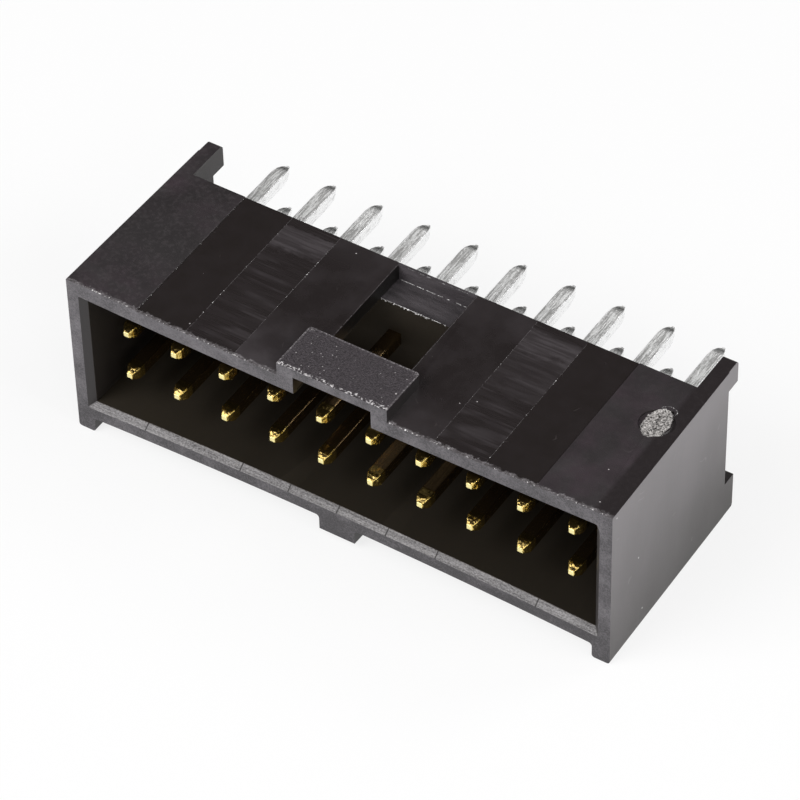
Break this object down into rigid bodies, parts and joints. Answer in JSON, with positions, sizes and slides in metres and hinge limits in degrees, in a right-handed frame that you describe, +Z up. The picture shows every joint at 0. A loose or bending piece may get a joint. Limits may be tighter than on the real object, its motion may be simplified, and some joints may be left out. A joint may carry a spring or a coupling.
{
  "type": "idc box header",
  "caption": "Shrouded post header for a flat-cable plug, keyed through one long wall, standing off the board on its end walls.",
  "frame": {"origin": "bottom centre of the bounding box, on the plane that the rails of the plain long wall rest on", "axes": "+X along the rows of posts; +Y from the mouth towards the board side and the solder tails, so the plug comes in from -Y; +Z up, from the rails of the plain long wall to the key wall"},
  "size_m": [0.0278, 0.0138, 0.0095],
  "materials": {
    "housing": "satin black moulded thermoplastic",
    "contacts": "gold flash on the mating posts, tin on the solder tails"
  },
  "bodies": {
    "root": {"housing": "housing", "pin_01": "contacts", "pin_02": "contacts", "pin_03": "contacts", "pin_04": "contacts", "pin_05": "contacts", "pin_06": "contacts", "pin_07": "contacts", "pin_08": "contacts", "pin_09": "contacts", "pin_10": "contacts", "pin_11": "contacts", "pin_12": "contacts", "pin_13": "contacts", "pin_14": "contacts", "pin_15": "contacts", "pin_16": "contacts", "pin_17": "contacts", "pin_18": "contacts", "pin_19": "contacts", "pin_20": "contacts"}
  },
  "joints": []
}
